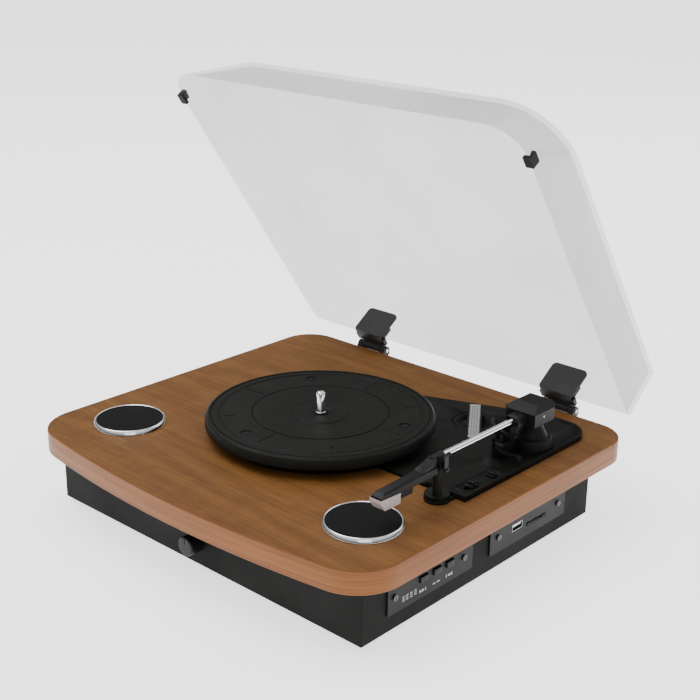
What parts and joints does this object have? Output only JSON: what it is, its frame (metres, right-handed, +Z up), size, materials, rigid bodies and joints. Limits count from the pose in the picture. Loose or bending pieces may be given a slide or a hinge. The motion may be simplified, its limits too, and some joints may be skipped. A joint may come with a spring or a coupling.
{
  "type": "record player",
  "caption": "Record player with a bowed wooden top board, black cabinet, built-in speakers, straight tonearm and a clear hinged lid standing open.",
  "frame": {"origin": "on the resting plane under the feet, below the middle of the top board's width and 0.5 mm in front of the platter's axis", "axes": "+Z up; -Y is the front with the volume knob; +X is the tonearm side"},
  "size_m": [0.36, 0.3761, 0.3422],
  "materials": {
    "veneer": "satin oak veneer",
    "oiled_edge": "smooth satin",
    "black_cabinet": "matte black paint on board",
    "black_board": "matte",
    "foot_rubber": "matte",
    "black_screws": "satin",
    "black_plastic": "satin",
    "platter_plastic": "satin",
    "printed_film": "satin",
    "brass": "turned",
    "motor_steel": "plated",
    "belt_rubber": "matte",
    "chrome": "polished",
    "stylus_red": "gloss",
    "clear_guard": "clear",
    "clear_lid": "clear",
    "hinge_plastic": "satin",
    "grille_cloth": "woven",
    "driver": "matte",
    "circuit_board": "satin"
  },
  "bodies": {
    "plinth": {"top_board": "veneer", "edge_band": "oiled_edge", "cabinet_shell": "black_cabinet", "base_plate": "black_board", "feet": "foot_rubber", "base_screws": "black_screws", "deck_plate": "black_plastic", "label_strip": "printed_film", "spindle_bush": "brass", "motor": "motor_steel", "drive_belt": "belt_rubber", "arm_pedestal": "black_plastic", "arm_rest_post": "black_plastic", "lift_tower": "black_plastic", "main_board": "circuit_board", "control_board": "circuit_board", "volume_pot": "motor_steel", "control_panel": "black_plastic", "port_panel": "black_plastic", "panel_screws": "black_screws", "usb_socket": "motor_steel", "card_socket": "motor_steel", "rear_panel": "black_plastic", "rca_jacks": "motor_steel", "aux_jack": "black_plastic", "dc_jack": "black_plastic", "hinge_bases": "hinge_plastic", "hinge_pins": "motor_steel", "hinge_screws": "black_screws", "speaker_ring_left": "chrome", "speaker_ring_right": "chrome", "speaker_grille_left": "grille_cloth", "speaker_grille_right": "grille_cloth", "speaker_driver_left": "driver", "speaker_driver_right": "driver"},
    "platter": {"platter": "platter_plastic", "platter_plugs": "foot_rubber", "spindle": "chrome"},
    "motor_pulley": {"motor_pulley": "brass"},
    "arm_turret": {"arm_turret": "black_plastic"},
    "tonearm": {"arm_pivot_pin": "motor_steel", "arm_block": "black_plastic", "counterweight": "motor_steel", "arm_tube": "chrome", "headshell": "black_plastic", "cartridge": "black_plastic", "stylus": "stylus_red"},
    "stylus_guard": {"stylus_guard": "clear_guard"},
    "arm_clip": {"arm_clip": "black_plastic"},
    "cue_lever": {"cue_lever": "black_plastic"},
    "lift_bar": {"lift_bar": "black_plastic"},
    "speed_selector": {"speed_selector": "black_plastic"},
    "auto_stop_switch": {"auto_stop_switch": "black_plastic"},
    "volume_knob": {"volume_knob": "black_plastic"},
    "button_previous": {"button_previous": "black_plastic"},
    "button_mode": {"button_mode": "black_plastic"},
    "button_next": {"button_next": "black_plastic"},
    "lid": {"lid": "clear_lid", "lid_bumpers": "foot_rubber", "hinge_leaves": "hinge_plastic"}
  },
  "joints": [
    {"name": "lid_hinge", "type": "hinge", "parent": "plinth", "child": "lid", "pos_m": [0, 0.1788, 0.0675], "axis": [-1, 0, 0], "range_deg": [-55.3, 4.7]},
    {"name": "platter_spin", "type": "hinge", "parent": "plinth", "child": "platter", "pos_m": [-0.003, 0.0005, 0.078], "axis": [0, 0, 1], "continuous": true},
    {"name": "pulley_spin", "type": "hinge", "parent": "plinth", "child": "motor_pulley", "pos_m": [-0.05323, 0.0295, 0.078], "axis": [0, 0, 1], "continuous": true},
    {"name": "tonearm_swing", "type": "hinge", "parent": "plinth", "child": "arm_turret", "pos_m": [0.138, 0.09, 0.091], "axis": [0, 0, -1], "range_deg": [0, 39]},
    {"name": "tonearm_lift", "type": "hinge", "parent": "arm_turret", "child": "tonearm", "pos_m": [0.138, 0.09, 0.101], "axis": [-1, 0, 0], "range_deg": [0, 12]},
    {"name": "stylus_guard_pull", "type": "slide", "parent": "tonearm", "child": "stylus_guard", "axis": [0, -1, 0], "range_m": [0, 0.03]},
    {"name": "arm_clip_hinge", "type": "hinge", "parent": "plinth", "child": "arm_clip", "pos_m": [0.1498, -0.033, 0.1069], "axis": [0, -1, 0], "range_deg": [0, 255]},
    {"name": "cue_lever_hinge", "type": "hinge", "parent": "plinth", "child": "cue_lever", "pos_m": [0.131, 0.0536, 0.0765], "axis": [0, -1, 0], "range_deg": [0, 50]},
    {"name": "lift_bar_slide", "type": "slide", "parent": "plinth", "child": "lift_bar", "axis": [0, 0, 1], "range_m": [0, 0.006]},
    {"name": "speed_selector_slide", "type": "slide", "parent": "plinth", "child": "speed_selector", "axis": [0, 1, 0], "range_m": [-0.006, 0.006]},
    {"name": "auto_stop_slide", "type": "slide", "parent": "plinth", "child": "auto_stop_switch", "axis": [0, 1, 0], "range_m": [0, 0.004]},
    {"name": "volume_knob_turn", "type": "hinge", "parent": "plinth", "child": "volume_knob", "pos_m": [0, -0.134, 0.023], "axis": [0, 1, 0], "range_deg": [-150, 150]},
    {"name": "button_previous_press", "type": "slide", "parent": "plinth", "child": "button_previous", "axis": [-1, 0, 0], "range_m": [0, 0.0012], "stiffness_N_per_m": 400},
    {"name": "button_mode_press", "type": "slide", "parent": "plinth", "child": "button_mode", "axis": [-1, 0, 0], "range_m": [0, 0.0012], "stiffness_N_per_m": 400},
    {"name": "button_next_press", "type": "slide", "parent": "plinth", "child": "button_next", "axis": [-1, 0, 0], "range_m": [0, 0.0012], "stiffness_N_per_m": 400}
  ],
  "couplings": [
    {"joint": "pulley_spin", "follows": "platter_spin", "ratio": 9.2},
    {"joint": "cue_lever_hinge", "follows": "lift_bar_slide", "rad_per_m": 145.45}
  ]
}
